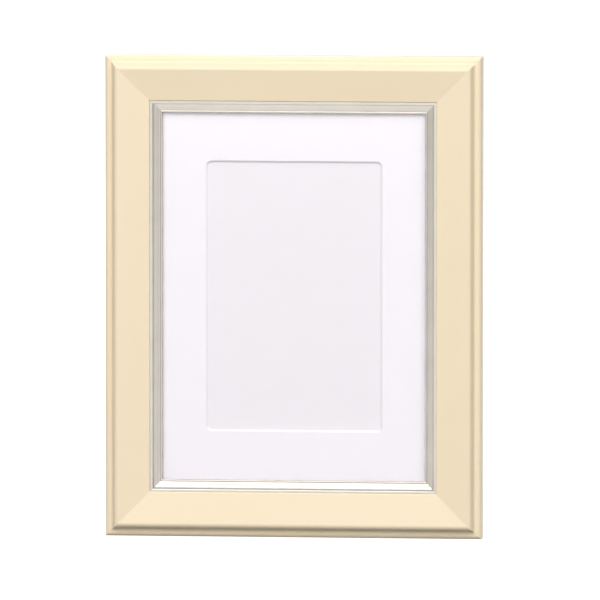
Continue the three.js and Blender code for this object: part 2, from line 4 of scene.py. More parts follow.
import bmesh
import bpy
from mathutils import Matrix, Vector


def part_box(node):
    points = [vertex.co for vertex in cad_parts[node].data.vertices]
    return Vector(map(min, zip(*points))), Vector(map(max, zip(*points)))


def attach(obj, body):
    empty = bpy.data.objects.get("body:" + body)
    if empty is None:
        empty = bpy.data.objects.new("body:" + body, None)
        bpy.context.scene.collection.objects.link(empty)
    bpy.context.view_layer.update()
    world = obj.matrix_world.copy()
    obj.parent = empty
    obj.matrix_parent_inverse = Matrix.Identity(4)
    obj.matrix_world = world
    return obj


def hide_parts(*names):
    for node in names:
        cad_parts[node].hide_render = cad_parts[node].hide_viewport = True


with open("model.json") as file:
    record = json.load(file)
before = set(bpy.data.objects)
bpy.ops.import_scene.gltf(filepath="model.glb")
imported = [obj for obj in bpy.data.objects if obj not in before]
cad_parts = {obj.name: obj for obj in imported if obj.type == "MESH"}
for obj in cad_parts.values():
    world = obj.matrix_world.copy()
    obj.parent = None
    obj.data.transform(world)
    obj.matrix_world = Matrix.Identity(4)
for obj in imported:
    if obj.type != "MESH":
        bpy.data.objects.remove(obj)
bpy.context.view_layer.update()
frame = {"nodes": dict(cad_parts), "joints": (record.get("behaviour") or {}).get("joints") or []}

# Moulding rails. Four lengths of wood run to one section: a rounded lip, a cove, a steep riser up to
# a round crest, and a wide face that falls towards the picture. They are mitred at the corners,
# sprayed with cream lacquer and left bare behind.
mm = 0.001
FACE_WIDTH = 23 * mm
FACE_SLOPE = math.radians(9)
LIP_WIDTH = 2.8 * mm
LIP_EDGE_RADIUS = 2.2 * mm
COVE_RADIUS = 1.6 * mm
COVE_START = math.radians(8)
RISER_SLOPE = math.radians(70)
RISER_LENGTH = 2.2 * mm
CREST_RADIUS = 2.2 * mm
INNER_EDGE_RADIUS = 0.7 * mm
HOLDING_EDGE = 0.4 * mm  # so far from each end of the face, an edge holds its shading flat
RABBET_WIDTH = 5 * mm
RABBET_SHELF = 9.15 * mm
NAIL_LEG = 6 * mm
NAIL_THICKNESS = 0.6 * mm
NAIL_HEIGHT = 9 * mm
SEAT_GAP = 0.15 * mm
OVERCUT = 1 * mm
ARC_STEP = math.radians(6)
SMOOTH_BELOW = math.radians(30)
TINY = 0.01 * mm
FACING = 0.9  # the least part of a face's normal that lies along the way it faces
SAWN_SLACK = 0.01
PATTERN_LOW = 0.3  # most of a noise pattern lies between these two
PATTERN_HIGH = 0.7
GRAIN_STRETCH = 30
CREAM = (0.85, 0.715, 0.505)
BARE_WOOD = (0.66, 0.475, 0.28)

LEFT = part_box("rail_left")[0].x
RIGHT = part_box("rail_right")[1].x
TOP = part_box("rail_top")[1].z
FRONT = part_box("rail_bottom")[0].y
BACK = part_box("rail_bottom")[1].y
MIDDLE_HEIGHT = TOP / 2
RABBET_EDGE = FACE_WIDTH - RABBET_WIDTH
BACK_MIDDLE = RABBET_EDGE / 2
ALONG_X = Vector((1, 0, 0))


def start_fresh():
    """Leave edit mode and deselect everything, so that operators act on the next primitive alone."""
    if bpy.context.mode != "OBJECT":
        bpy.ops.object.mode_set(mode="OBJECT")
    bpy.ops.object.select_all(action="DESELECT")


def work_on(piece):
    """Make a piece the only one that is selected."""
    start_fresh()
    piece.select_set(True)
    bpy.context.view_layer.objects.active = piece
    return piece


def open_new(name, size=(1, 1, 1)):
    """Name the primitive just added, stretch it about its middle and open it in edit mode."""
    piece = bpy.context.object
    piece.name = name
    piece.data.name = name
    middle = piece.location.copy()
    bpy.ops.object.transform_apply(location=True, rotation=True, scale=True)
    bpy.ops.object.mode_set(mode="EDIT")
    bpy.ops.mesh.select_all(action="SELECT")
    bpy.ops.transform.resize(value=size, center_override=middle)
    return piece


def block(name, low, high):
    """Open a box between two corners."""
    start_fresh()
    low, high = Vector(low), Vector(high)
    bpy.ops.mesh.primitive_cube_add(size=1, location=(low + high) / 2)
    return open_new(name, high - low)


def pick(kind, wanted):
    """In edit mode, select only the verts, edges or faces whose middle or self passes a test."""
    bpy.ops.mesh.select_mode(type=kind)
    bpy.ops.mesh.select_all(action="DESELECT")
    edited = bpy.context.edit_object.data
    mesh = bmesh.from_edit_mesh(edited)
    for item in {"VERT": mesh.verts, "EDGE": mesh.edges, "FACE": mesh.faces}[kind]:
        corners = [item] if kind == "VERT" else item.verts
        middle = sum((corner.co for corner in corners), Vector()) / len(corners)
        if wanted(middle, item):
            item.select_set(True)
    mesh.select_flush_mode()
    bmesh.update_edit_mesh(edited)


def extrude(step):
    """Extrude the selection by a step."""
    bpy.ops.mesh.extrude_region_move(TRANSFORM_OT_translate={"value": step})


def extrude_to(place):
    """Extrude the selection so that its middle comes to a place."""
    mesh = bmesh.from_edit_mesh(bpy.context.edit_object.data)
    chosen = [corner.co for corner in mesh.verts if corner.select]
    extrude(Vector(place) - sum(chosen, Vector()) / len(chosen))


def sweep(angle, centre, axis):
    """Spin the selection about an axis, anticlockwise as seen along it."""
    steps = max(2, round(abs(angle) / ARC_STEP))
    bpy.ops.mesh.spin(steps=steps, angle=angle, center=centre, axis=axis)


def close_up():
    """Weld what meets, turn the faces outwards and leave edit mode."""
    bpy.ops.mesh.select_all(action="SELECT")
    bpy.ops.mesh.remove_doubles(threshold=TINY)
    bpy.ops.mesh.normals_make_consistent(inside=False)
    bpy.ops.object.mode_set(mode="OBJECT")


def smooth(piece):
    """Shade a piece smooth, with its flat faces flat right up to their eased edges."""
    work_on(piece)
    bpy.ops.object.shade_smooth_by_angle(angle=SMOOTH_BELOW)
    even = piece.modifiers.new("even", "WEIGHTED_NORMAL")
    even.keep_sharp = True
    bpy.ops.object.modifier_apply(modifier=even.name)
    return piece


def cut(piece, cutter, inside=None):
    """Take a closed cutter out of a piece, whose new faces get the inside finish."""
    start_fresh()
    if inside is not None:
        dress(cutter, inside)
    work_on(piece)
    boolean = piece.modifiers.new("cut", "BOOLEAN")
    boolean.operation = "DIFFERENCE"
    boolean.solver = "EXACT"
    boolean.material_mode = "TRANSFER"
    boolean.object = cutter
    bpy.ops.object.modifier_apply(modifier=boolean.name)
    bpy.data.objects.remove(cutter)
    return smooth(piece)


def copied(piece, name):
    """A copy of a piece with a mesh of its own."""
    work_on(piece)
    bpy.ops.object.duplicate(linked=False)
    copy = bpy.context.object
    copy.name = name
    copy.data.name = name
    return copy


def settle(piece, place, turn=0):
    """Turn a piece about Y, move it, and put both into its mesh."""
    work_on(piece)
    piece.location = place
    piece.rotation_euler = (0, turn, 0)
    bpy.ops.object.transform_apply(location=True, rotation=True, scale=True)
    return piece


def dress(piece, material, wanted=None):
    """Give a piece a finish, all over or on the faces that pass a test."""
    piece.data.materials.append(material)
    index = len(piece.data.materials) - 1
    for face in piece.data.polygons:
        if wanted is None or wanted(face):
            face.material_index = index
    return piece


def stand_for(piece, node, body):
    """The piece takes a node's place on its body."""
    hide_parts(node)
    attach(piece, body)


def new_finish(name, roughness=0.5, metallic=0.0):
    """A material with its node tree and its shader."""
    material = bpy.data.materials.new(name)
    material.use_nodes = True
    shader = material.node_tree.nodes["Principled BSDF"]
    shader.inputs["Roughness"].default_value = roughness
    shader.inputs["Metallic"].default_value = metallic
    return material, material.node_tree, shader


def grain(tree, spacing, stretch=(1, 1, 1), detail=2.0, rough=0.5):
    """Noise whose marks lie about a spacing apart, and so many times longer along each axis."""
    coordinates = tree.nodes.new("ShaderNodeTexCoord")
    mapping = tree.nodes.new("ShaderNodeMapping")
    mapping.inputs["Scale"].default_value = [1 / (spacing * times) for times in stretch]
    noise = tree.nodes.new("ShaderNodeTexNoise")
    noise.inputs["Scale"].default_value = 1.0
    noise.inputs["Detail"].default_value = detail
    noise.inputs["Roughness"].default_value = rough
    tree.links.new(coordinates.outputs["Object"], mapping.inputs["Vector"])
    tree.links.new(mapping.outputs["Vector"], noise.inputs["Vector"])
    return noise.outputs["Fac"]


def tones(tree, pattern, shader, colour, darkest, lightest=1.0, low=PATTERN_LOW, high=PATTERN_HIGH):
    """Colour a surface from the darkest to the lightest of a colour as a pattern rises."""
    ramp = tree.nodes.new("ShaderNodeValToRGB")
    dark, light = ramp.color_ramp.elements
    dark.position = low
    dark.color = (*(channel * darkest for channel in colour), 1)
    light.position = high
    light.color = (*(channel * lightest for channel in colour), 1)
    tree.links.new(pattern, ramp.inputs["Fac"])
    tree.links.new(ramp.outputs["Color"], shader.inputs["Base Color"])


def spread(tree, pattern, shader, low, high):
    """Let a surface's roughness range from low to high with a pattern."""
    spreading = tree.nodes.new("ShaderNodeMapRange")
    spreading.inputs["From Min"].default_value = PATTERN_LOW
    spreading.inputs["From Max"].default_value = PATTERN_HIGH
    spreading.inputs["To Min"].default_value = low
    spreading.inputs["To Max"].default_value = high
    tree.links.new(pattern, spreading.inputs["Value"])
    tree.links.new(spreading.outputs["Result"], shader.inputs["Roughness"])


def relief(tree, pattern, shader, depth, under=None):
    """Raise a surface by a pattern, over another relief if there is one."""
    bump = tree.nodes.new("ShaderNodeBump")
    bump.inputs["Distance"].default_value = depth
    tree.links.new(pattern, bump.inputs["Height"])
    if under is not None:
        tree.links.new(under.outputs["Normal"], bump.inputs["Normal"])
    tree.links.new(bump.outputs["Normal"], shader.inputs["Normal"])
    return bump


def cream_lacquer():
    """Sprayed lacquer: a satin skin with a faint orange peel and clouds too weak to see at once."""
    material, tree, shader = new_finish("cream lacquer")
    clouds = grain(tree, spacing=30 * mm)
    tones(tree, clouds, shader, CREAM, darkest=0.985)
    patches = grain(tree, spacing=9 * mm)
    spread(tree, patches, shader, low=0.28, high=0.32)
    orange_peel = grain(tree, spacing=1.4 * mm)
    peel = relief(tree, orange_peel, shader, depth=0.006 * mm)
    waves = grain(tree, spacing=18 * mm)
    relief(tree, waves, shader, depth=0.03 * mm, under=peel)
    return material


def bare_wood(name, stretch):
    """Planed softwood with its grain along the rail."""
    material, tree, shader = new_finish(name, roughness=0.72)
    rings = grain(tree, spacing=2.2 * mm, stretch=stretch, detail=5, rough=0.6)
    tones(tree, rings, shader, BARE_WOOD, darkest=0.62, low=0.34, high=0.62)
    pores = grain(tree, spacing=0.3 * mm, stretch=stretch, detail=3)
    relief(tree, pores, shader, depth=0.06 * mm)
    return material


def on_section(across, height):
    """The middle of a bottom length's line, so far from its outer edge and so far before its back."""
    return Vector((0, BACK - height, across))


def back_strip(name, length, outer, inner, height):
    """Open a plane that faces the back, from which the rest of a section is drawn out."""
    start_fresh()
    middle = on_section((outer + inner) / 2, height)
    bpy.ops.mesh.primitive_plane_add(size=1, location=middle, rotation=(-math.pi / 2, 0, 0))
    return open_new(name, (length, 1, inner - outer))


def mitre_ends(length):
    """Saw both ends of the opened length at 45 degrees."""
    for end in (-1, 1):
        bpy.ops.mesh.select_all(action="SELECT")
        sawn = Vector((end * length / 2, 0, 0))
        across = Vector((end, 0, 1)).normalized()
        bpy.ops.mesh.bisect(plane_co=sawn, plane_no=across, use_fill=True, clear_outer=True)


def moulding(name, length):
    """A length for the bottom of the frame, drawn out edge by edge from its back."""
    depth = BACK - FRONT
    fall = math.tan(FACE_SLOPE)
    cove_rise = COVE_RADIUS * (math.cos(COVE_START) - math.cos(RISER_SLOPE))
    riser_height = depth - CREST_RADIUS * (1 - math.cos(RISER_SLOPE))
    lip = riser_height - RISER_LENGTH * math.sin(RISER_SLOPE) - cove_rise
    cove_across = LIP_WIDTH - COVE_RADIUS * math.sin(COVE_START)
    cove_height = lip + COVE_RADIUS * math.cos(COVE_START)
    riser_foot = cove_across + COVE_RADIUS * math.sin(RISER_SLOPE)
    riser_across = riser_foot + RISER_LENGTH * math.cos(RISER_SLOPE)
    crest_across = riser_across + CREST_RADIUS * math.sin(RISER_SLOPE)
    crest_height = depth - CREST_RADIUS
    face_across = crest_across + CREST_RADIUS * math.sin(FACE_SLOPE)
    face_height = crest_height + CREST_RADIUS * math.cos(FACE_SLOPE)
    edge_across = FACE_WIDTH - INNER_EDGE_RADIUS
    face_end_across = edge_across + INNER_EDGE_RADIUS * math.sin(FACE_SLOPE)
    face_end_height = face_height - (face_end_across - face_across) * fall
    edge_height = face_end_height - INNER_EDGE_RADIUS * math.cos(FACE_SLOPE)

    rail = back_strip(name, length, 0, RABBET_EDGE, 0)
    pick("EDGE", lambda middle, edge: middle.z < TINY)
    extrude_to(on_section(0, lip - LIP_EDGE_RADIUS))
    sweep(math.pi / 2, on_section(LIP_EDGE_RADIUS, lip - LIP_EDGE_RADIUS), ALONG_X)
    extrude_to(on_section(LIP_WIDTH, lip))
    sweep(COVE_START - RISER_SLOPE, on_section(cove_across, cove_height), ALONG_X)
    extrude_to(on_section(riser_across, riser_height))
    sweep(RISER_SLOPE + FACE_SLOPE, on_section(crest_across, crest_height), ALONG_X)
    extrude_to(on_section(face_across + HOLDING_EDGE, face_height - HOLDING_EDGE * fall))
    extrude_to(on_section(face_end_across - HOLDING_EDGE, face_end_height + HOLDING_EDGE * fall))
    extrude_to(on_section(face_end_across, face_end_height))
    sweep(math.pi / 2 - FACE_SLOPE, on_section(edge_across, edge_height), ALONG_X)
    extrude_to(on_section(FACE_WIDTH, RABBET_SHELF))
    extrude_to(on_section(RABBET_EDGE, RABBET_SHELF))
    extrude_to(on_section(RABBET_EDGE, 0))
    mitre_ends(length)
    close_up()
    slot_half = NAIL_THICKNESS / 2 + SEAT_GAP
    for end in (-1, 1):
        slot_end = end * (length / 2 - BACK_MIDDLE - NAIL_LEG)
        past_mitre = end * (length / 2 - BACK_MIDDLE + OVERCUT)
        slot_floor = BACK - NAIL_HEIGHT - SEAT_GAP
        slot_low = (min(slot_end, past_mitre), slot_floor, BACK_MIDDLE - slot_half)
        slot_high = (max(slot_end, past_mitre), BACK + OVERCUT, BACK_MIDDLE + slot_half)
        cut(rail, block("nail slot", slot_low, slot_high))
    return rail


SIDES = {
    "bottom": ((0, 0, 0), 0),
    "top": ((0, 0, TOP), math.pi),
    "left": ((LEFT, 0, MIDDLE_HEIGHT), math.pi / 2),
    "right": ((RIGHT, 0, MIDDLE_HEIGHT), -math.pi / 2),
}


def four_sides(kind, make):
    """Make a bottom and a left length, copy each for the side opposite, and set all four in place."""
    pieces = {"bottom": make(f"{kind}_bottom", RIGHT - LEFT), "left": make(f"{kind}_left", TOP)}
    pieces["top"] = copied(pieces["bottom"], f"{kind}_top")
    pieces["right"] = copied(pieces["left"], f"{kind}_right")
    for side, piece in pieces.items():
        settle(piece, *SIDES[side])
    return pieces


def is_bare(face):
    """The back, the rabbet, the nail slots and the sawn ends of a length have no lacquer or leaf."""
    facing, middle = face.normal, face.center
    if abs(facing.y) > TINY:
        return facing.y > FACING
    sawn = abs(abs(facing.x) - abs(facing.z)) < SAWN_SLACK
    inside = LEFT + TINY < middle.x < RIGHT - TINY and TINY < middle.z < TOP - TINY
    return sawn or (inside and middle.y > BACK - RABBET_SHELF - TINY)


lacquer = cream_lacquer()
level_wood = bare_wood("bare wood, level grain", (GRAIN_STRETCH, 1, 1))
upright_wood = bare_wood("bare wood, upright grain", (1, 1, GRAIN_STRETCH))
wood = {"bottom": level_wood, "top": level_wood, "left": upright_wood, "right": upright_wood}
rails = four_sides("cream_rail", moulding)
for side, rail in rails.items():
    dress(rail, lacquer)
    dress(rail, wood[side], is_bare)
    stand_for(rail, f"rail_{side}", "frame")

# Corner nails. A V of bright steel strip is pressed into the back of each mitre, with one leg in each
# rail. Its edge lies just below the wood's surface, in a slot that it cuts for itself.
STEEL = (0.62, 0.61, 0.585)


def plated_steel():
    """Nickel plate: bright, with faint drawing marks and a little tarnish."""
    material, tree, shader = new_finish("nickel plate", metallic=1.0)
    tarnish = grain(tree, spacing=4 * mm, detail=3)
    tones(tree, tarnish, shader, STEEL, darkest=0.86)
    wear = grain(tree, spacing=1.5 * mm, detail=3)
    spread(tree, wear, shader, low=0.24, high=0.4)
    drawing_marks = grain(tree, spacing=0.25 * mm, stretch=(8, 1, 1))
    relief(tree, drawing_marks, shader, depth=0.01 * mm)
    return material


steel = plated_steel()
for corner in ("bottom_left", "top_left", "top_right", "bottom_right"):
    frame["nodes"][f"corner_nail_{corner}"].data.materials[0] = steel

# Silver slip. A narrow wooden slip between the moulding and the glass, with a tall outer bead, a slope
# of two small hollows, and a finer bead at the sight edge. Its face is silver leaf, and its flange lies
# behind the moulding.
SLIP_WIDTH = 6 * mm
SLIP_FLANGE = 1.5 * mm
SIGHT_HEIGHT = 0.8 * mm
SLIP_BEAD_RADIUS = 0.8 * mm
SLIP_BEAD_HEIGHT = 2.1 * mm
SIGHT_BEAD_RADIUS = 0.55 * mm
HOLLOW_DEPTH = 0.12 * mm
SLIP_HEEL_GAP = 0.3 * mm
SLIP_WALL_GAP = 0.05 * mm
SILVER = (0.58, 0.545, 0.49)

SLIP_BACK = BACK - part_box("slip_bottom")[1].y
SLIP_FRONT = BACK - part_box("slip_bottom")[0].y


def hollow(start, end):
    """Sweep the selected line along a shallow hollow between two points of the section."""
    chord = end - start
    radius = (chord.length_squared / 4 + HOLLOW_DEPTH**2) / (2 * HOLLOW_DEPTH)
    open_side = Vector((0, chord.z, -chord.y)).normalized()
    centre = (start + end) / 2 + open_side * (radius - HOLLOW_DEPTH)
    sweep(2 * math.asin(chord.length / 2 / radius), centre, ALONG_X)


def silver_slip(name, length):
    """A length for the bottom of the frame, drawn out from its back as the moulding is."""
    heel = RABBET_EDGE + SLIP_HEEL_GAP
    wall = FACE_WIDTH + SLIP_WALL_GAP
    sight = FACE_WIDTH + SLIP_WIDTH
    sight_bead_height = SLIP_BACK + SIGHT_HEIGHT - SIGHT_BEAD_RADIUS
    sight_bead = on_section(sight - SIGHT_BEAD_RADIUS, sight_bead_height)
    sight_bead_half = Vector((0, 0, SIGHT_BEAD_RADIUS))
    outer_bead = on_section(wall + SLIP_BEAD_RADIUS, SLIP_FRONT - SLIP_BEAD_RADIUS)
    outer_bead_side = outer_bead + Vector((0, 0, SLIP_BEAD_RADIUS))
    foot = sight_bead - sight_bead_half
    head = on_section(outer_bead_side.z, SLIP_FRONT - SLIP_BEAD_HEIGHT)
    arris = (foot + head) / 2

    slip = back_strip(name, length, heel, sight, SLIP_BACK)
    pick("EDGE", lambda middle, edge: middle.z > sight - TINY)
    extrude_to(sight_bead + sight_bead_half)
    sweep(-math.pi, sight_bead, ALONG_X)
    hollow(foot, arris)
    hollow(arris, head)
    extrude_to(outer_bead_side)
    sweep(-math.pi / 2, outer_bead, ALONG_X)
    extrude_to(on_section(wall, SLIP_FRONT))
    extrude_to(on_section(wall, SLIP_BACK + SLIP_FLANGE))
    extrude_to(on_section(heel, SLIP_BACK + SLIP_FLANGE))
    extrude_to(on_section(heel, SLIP_BACK))
    mitre_ends(length)
    close_up()
    return smooth(slip)


def silver_leaf():
    """Burnished leaf: bright metal with faint clouds, and a skin that isn't quite flat."""
    material, tree, shader = new_finish("silver leaf", metallic=1.0)
    clouds = grain(tree, spacing=12 * mm, detail=4)
    tones(tree, clouds, shader, SILVER, darkest=0.92)
    rubbed = grain(tree, spacing=5 * mm, detail=3)
    spread(tree, rubbed, shader, low=0.3, high=0.38)
    dents = grain(tree, spacing=3 * mm)
    relief(tree, dents, shader, depth=0.006 * mm)
    return material


silver = silver_leaf()
slips = four_sides("silver_slip", silver_slip)
for side, slip in slips.items():
    dress(slip, silver)
    dress(slip, wood[side], is_bare)
    stand_for(slip, f"slip_{side}", "frame")

# Glass. A sheet of clear float glass, cut to the rabbet, with its sharp edges taken off on a stone.
# It lies behind the slip and in front of the mat.
GLASS_ARRIS = 0.15 * mm
EASE_STEPS = 2
EASE_ABOVE = math.radians(40)
GLASS_TINT = (0.995, 0.998, 0.996)
GLASS_GLEAM = 0.04
GLASS_FALLOFF = 5


def ease(piece, width):
    """Round a piece's sharp edges."""
    work_on(piece)
    bevel = piece.modifiers.new("ease", "BEVEL")
    bevel.width = width
    bevel.segments = EASE_STEPS
    bevel.limit_method = "ANGLE"
    bevel.angle_limit = EASE_ABOVE
    bpy.ops.object.modifier_apply(modifier=bevel.name)
    return smooth(piece)


def clear_glass():
    """Light goes straight through it, and its faces mirror a little, less clearly where dust lies."""
    material = bpy.data.materials.new("clear glass")
    material.use_nodes = True
    tree = material.node_tree
    tree.nodes.remove(tree.nodes["Principled BSDF"])
    clear = tree.nodes.new("ShaderNodeBsdfTransparent")
    clear.inputs["Color"].default_value = (*GLASS_TINT, 1)
    mirror = tree.nodes.new("ShaderNodeBsdfGlossy")
    dust = grain(tree, spacing=14 * mm, detail=5)
    spread(tree, dust, mirror, low=0.0, high=0.06)
    slant = tree.nodes.new("ShaderNodeLayerWeight")
    steep = tree.nodes.new("ShaderNodeMath")
    steep.operation = "POWER"
    steep.inputs[1].default_value = GLASS_FALLOFF
    gleam = tree.nodes.new("ShaderNodeMapRange")
    gleam.inputs["To Min"].default_value = GLASS_GLEAM
    mixed = tree.nodes.new("ShaderNodeMixShader")
    tree.links.new(slant.outputs["Facing"], steep.inputs[0])
    tree.links.new(steep.outputs["Value"], gleam.inputs["Value"])
    tree.links.new(gleam.outputs["Result"], mixed.inputs["Fac"])
    tree.links.new(clear.outputs["BSDF"], mixed.inputs[1])
    tree.links.new(mirror.outputs["BSDF"], mixed.inputs[2])
    tree.links.new(mixed.outputs["Shader"], tree.nodes["Material Output"].inputs["Surface"])
    return material


glass = ease(block("clear_glass", *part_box("glazing")), GLASS_ARRIS)
dress(glass, clear_glass())
stand_for(glass, "glazing", "frame")

# Mat. White board with a window whose edge is cut at 45 degrees and shows the board's core. It lies
# loose between the glass and the back, and it laps the postcard by 5 mm all round its window.
MAT_LAP = 5 * mm
WINDOW_RADIUS = 3 * mm
CORNER_STEPS = 10
MAT_PAPER = (0.945, 0.895, 0.95)
MAT_CORE = (0.89, 0.855, 0.885)

mat_low, mat_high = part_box("mat_board")
card_low, card_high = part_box("postcard_blank")


def window_cutter():
    """A closed plug of the window's shape that narrows at 45 degrees from before the mat to behind."""
    start_fresh()
    proud = SEAT_GAP / 2
    depth = mat_high.y - mat_low.y + 2 * proud
    middle = (card_low + card_high) / 2
    middle.y = mat_low.y - proud
    bpy.ops.mesh.primitive_plane_add(size=1, location=middle, rotation=(math.pi / 2, 0, 0))
    size = card_high - card_low - 2 * (MAT_LAP - proud) * Vector((1, 0, 1))
    plug = open_new("window plug", (size.x, 1, size.z))
    bpy.ops.mesh.bevel(offset=WINDOW_RADIUS + proud, segments=CORNER_STEPS, affect="VERTICES")
    bpy.ops.mesh.select_all(action="SELECT")
    bpy.ops.mesh.inset(thickness=depth)
    bpy.ops.transform.translate(value=(0, depth, 0))
    pick("EDGE", lambda place, edge: edge.is_boundary)
    bpy.ops.mesh.edge_face_add()
    close_up()
    return plug


def is_bevel(face):
    """The window's edge slants, while the mat's other faces are square to the frame."""
    return 1 - FACING < abs(face.normal.y) < FACING


def paper(name, colour, spacing, tooth):
    """Uncoated paper: matt, with a fine tooth and fibres that cloud it slightly."""
    material, tree, shader = new_finish(name, roughness=0.88)
    fibres = grain(tree, spacing, detail=4)
    tones(tree, fibres, shader, colour, darkest=0.985)
    fine_tooth = grain(tree, spacing=0.35 * mm, detail=3)
    relief(tree, fine_tooth, shader, depth=tooth)
    return material


mat = block("bevelled_mat", mat_low, mat_high)
cut(mat, window_cutter())
dress(mat, paper("mat paper", MAT_PAPER, spacing=6 * mm, tooth=0.02 * mm))
dress(mat, paper("mat core", MAT_CORE, spacing=1.5 * mm, tooth=0.04 * mm), is_bevel)
stand_for(mat, "mat_board", "frame")

# Postcard. A blank uncoated card of the standard size, held between the mat and the back.
# It stands in for the card that an owner slips in.
CARD_PAPER = (0.885, 0.84, 0.885)

card_paper = paper("card paper", CARD_PAPER, spacing=4 * mm, tooth=0.01 * mm)
frame["nodes"]["postcard_blank"].data.materials[0] = card_paper

# Back panel. A sheet of brown fibreboard pressed smooth, with eased edges, that closes the rabbet.
# It holds the picture in, and the strut's hinge is riveted through it.
PANEL_EDGE = 0.35 * mm
RIVET_SHANK_RADIUS = 1.2 * mm
RIVET_TAIL_RADIUS = 2 * mm
RIVET_TAIL_HEIGHT = 0.6 * mm
ROUND_SIDES = 40
FIBREBOARD = (0.235, 0.135, 0.07)
ALONG_Y = Vector((0, 1, 0))


def rod(name, place, radius, length, axis):
    """Open a round bar with its middle at a place, along X or Y."""
    start_fresh()
    turn = axis.cross(Vector((0, 0, 1))) * (math.pi / 2)
    bpy.ops.mesh.primitive_cylinder_add(
        vertices=ROUND_SIDES, radius=radius, depth=length, location=place, rotation=turn
    )
    return open_new(name)


def drill(piece, place, shank, depth, inside=None):
    """Drill a hole along Y to take a shank, so deep before and behind a place."""
    cut(piece, rod("drill", place, shank + SEAT_GAP, 2 * depth, ALONG_Y), inside)


def rivet_holes(piece, node, rivets, inside):
    """Drill a node's board for its rivets, and sink its front for their tails."""
    front, back = (corner.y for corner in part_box(node))
    for rivet_node in rivets:
        low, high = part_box(rivet_node)
        place = (low + high) / 2
        place.y = (back + front) / 2
        drill(piece, place, RIVET_SHANK_RADIUS, (back - front) / 2 + OVERCUT, inside)
        place.y = front
        drill(piece, place, RIVET_TAIL_RADIUS, RIVET_TAIL_HEIGHT + 2 * SEAT_GAP, inside)


def fibreboard():
    """Hardboard: brown, pressed smooth, with short dark and pale fibres."""
    material, tree, shader = new_finish("fibreboard")
    fibres = grain(tree, spacing=1.3 * mm, stretch=(1, 1, 1.6), detail=8, rough=0.72)
    tones(tree, fibres, shader, FIBREBOARD, darkest=0.7, lightest=1.35)
    pressed = grain(tree, spacing=5 * mm, detail=4)
    spread(tree, pressed, shader, low=0.5, high=0.7)
    nap = grain(tree, spacing=0.5 * mm, detail=5)
    relief(tree, nap, shader, depth=0.03 * mm)
    return material


board = fibreboard()
panel = ease(block("fibre_back", *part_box("back_panel")), PANEL_EDGE)
dress(panel, board)
rivet_holes(panel, "back_panel", ("rivet_panel_left", "rivet_panel_right"), board)
stand_for(panel, "back_panel", "frame")

# Turn buttons and their screws. Pear-shaped plates of brass-plated steel, stamped and eased, that turn
# on pan-head wood screws in the side rails. Their tails lap the back panel and keep it in.
BUTTON_THICKNESS = 0.9 * mm
BUTTON_EDGE = 0.22 * mm
BUTTON_HEAD_RADIUS = 4.8 * mm
BUTTON_TAIL_RADIUS = 3.4 * mm
SCREW_HEAD_RADIUS = 2.9 * mm
SCREW_HEAD_HEIGHT = 1.7 * mm
SCREW_SHANK_RADIUS = 1.4 * mm
SCREW_POINT = 2.5 * mm
RECESS_LENGTH = 3.3 * mm
RECESS_WIDTH = 0.75 * mm
RECESS_DEPTH = 1 * mm
RECESS_TAPER = 0.6
DOME_STEPS = 10
BRASS = (0.70, 0.49, 0.185)


def brass_plate():
    """Brass plate over stamped steel: yellow, rolled, dulled in patches."""
    material, tree, shader = new_finish("brass plate", metallic=1.0)
    patches = grain(tree, spacing=3 * mm, detail=4)
    tones(tree, patches, shader, BRASS, darkest=0.8)
    dulled = grain(tree, spacing=1.2 * mm, detail=3)
    spread(tree, dulled, shader, low=0.22, high=0.42)
    rolling_marks = grain(tree, spacing=0.2 * mm, stretch=(10, 1, 1))
    relief(tree, rolling_marks, shader, depth=0.008 * mm)
    return material


def disc(name, radius, facing):
    """Open a round face on the origin that faces the back, or the front where facing is -1."""
    start_fresh()
    turn = (-facing * math.pi / 2, 0, 0)
    bpy.ops.mesh.primitive_circle_add(
        vertices=ROUND_SIDES, radius=radius, fill_type="NGON", rotation=turn
    )
    return open_new(name)


def scale_about_y(times):
    """Draw the selection towards the Y axis, or away from it."""
    bpy.ops.transform.resize(value=(times, 1, times), center_override=(0, 0, 0))


def turn_button(name):
    """A pear about the origin with its tail along +X, standing on the plane Y = 0."""
    low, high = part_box("turn_button_left_upper")
    reach = high.x - low.x - BUTTON_HEAD_RADIUS - BUTTON_TAIL_RADIUS
    taper = (BUTTON_HEAD_RADIUS - BUTTON_TAIL_RADIUS) / reach
    button = disc(name, BUTTON_HEAD_RADIUS, 1)
    pick("VERT", lambda place, vert: place.x > BUTTON_HEAD_RADIUS * taper)
    scale_about_y(BUTTON_TAIL_RADIUS / BUTTON_HEAD_RADIUS)
    bpy.ops.transform.translate(value=(reach, 0, 0))
    bpy.ops.mesh.select_all(action="SELECT")
    extrude((0, BUTTON_THICKNESS, 0))
    close_up()
    drill(button, (0, 0, 0), SCREW_SHANK_RADIUS, 2 * BUTTON_THICKNESS)
    return ease(button, BUTTON_EDGE)


def dome(height):
    """Draw the selected rim up into a low dome about the Y axis, and close it."""
    angles = [step / DOME_STEPS * math.pi / 2 for step in range(DOME_STEPS)]
    for before, after in zip(angles, angles[1:]):
        extrude((0, height * (math.sin(after) - math.sin(before)), 0))
        scale_about_y(math.cos(after) / math.cos(before))
    bpy.ops.mesh.edge_face_add()


